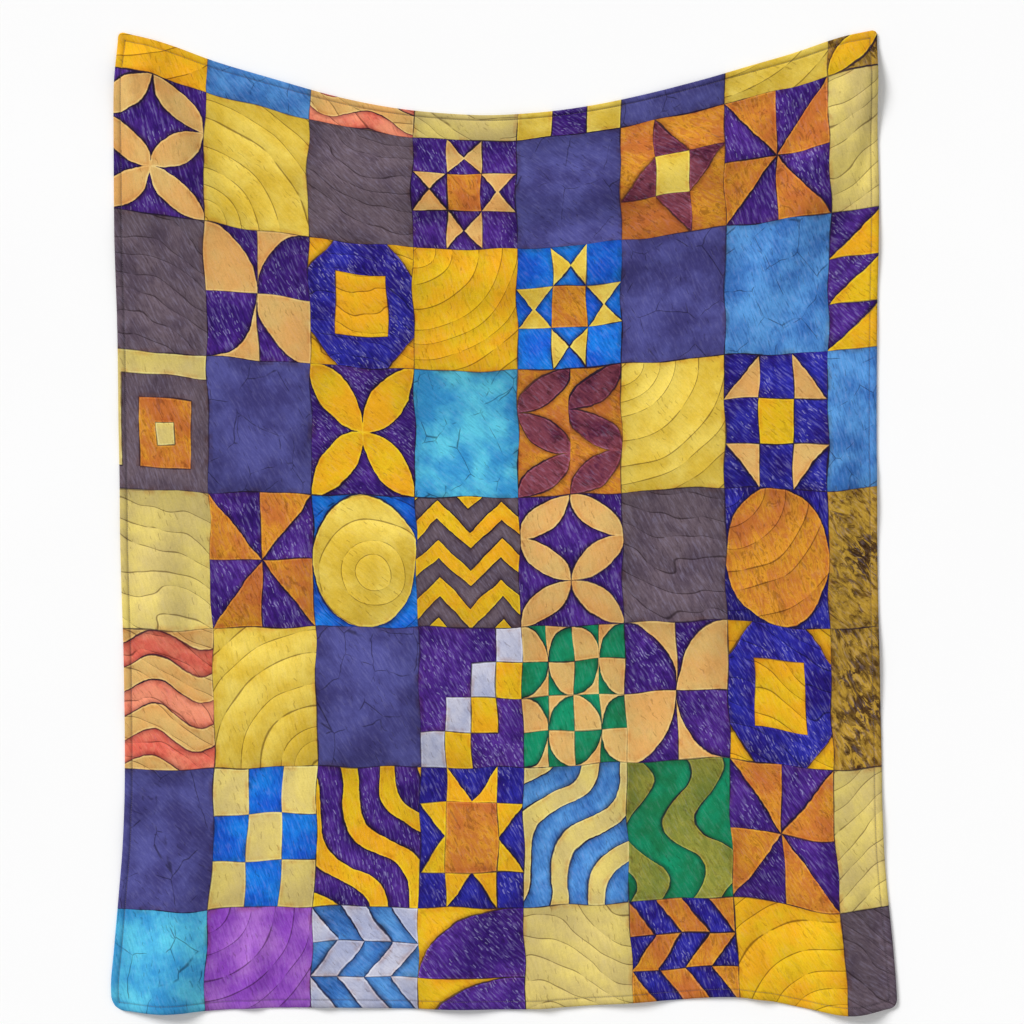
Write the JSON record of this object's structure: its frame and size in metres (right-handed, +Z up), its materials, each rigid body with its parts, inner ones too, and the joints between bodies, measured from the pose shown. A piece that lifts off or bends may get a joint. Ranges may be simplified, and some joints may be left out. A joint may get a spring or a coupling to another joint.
{
  "type": "throw blanket",
  "caption": "Fleece throw blanket laid out face up, with a turned and stitched hem, a sagging top edge and low soft folds.",
  "frame": {"origin": "on the level surface that the throw lies on, under the middle of its outline", "axes": "+Z up from the surface, +Y along the throw's length towards its sagging top hem, +X across it to the right as seen from above"},
  "size_m": [1.2489, 1.5612, 0.0272],
  "materials": {
    "printed_fleece": "matte short-pile fleece, printed on the face"
  },
  "bodies": {
    "root": {"throw_blanket": "printed_fleece"}
  },
  "joints": []
}
